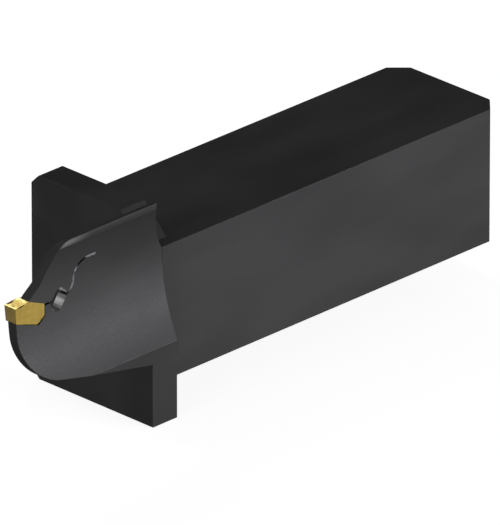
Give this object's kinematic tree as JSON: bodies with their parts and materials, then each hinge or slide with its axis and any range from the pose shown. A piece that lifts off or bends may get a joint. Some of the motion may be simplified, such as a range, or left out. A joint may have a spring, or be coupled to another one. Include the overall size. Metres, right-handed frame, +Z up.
{
  "type": "face grooving tool holder",
  "caption": "Square-shank turning tool holder with a shoulder flange, a curved face grooving blade, a spring clamping jaw and a gold-coloured grooving insert.",
  "frame": {"origin": "middle of the shank's underside, the face that sits in the lathe's tool post", "axes": "+X along the shank towards the cutting edge, +Y towards the blade's concave side, +Z up, the way the insert's top faces"},
  "size_m": [0.1502, 0.0421, 0.054],
  "materials": {
    "black_steel": "smooth blackened tool steel, satin",
    "coated_carbide": "gold-coloured nitride coating on sintered carbide"
  },
  "bodies": {
    "root": {"holder": "black_steel", "grooving_insert": "coated_carbide"}
  },
  "joints": []
}
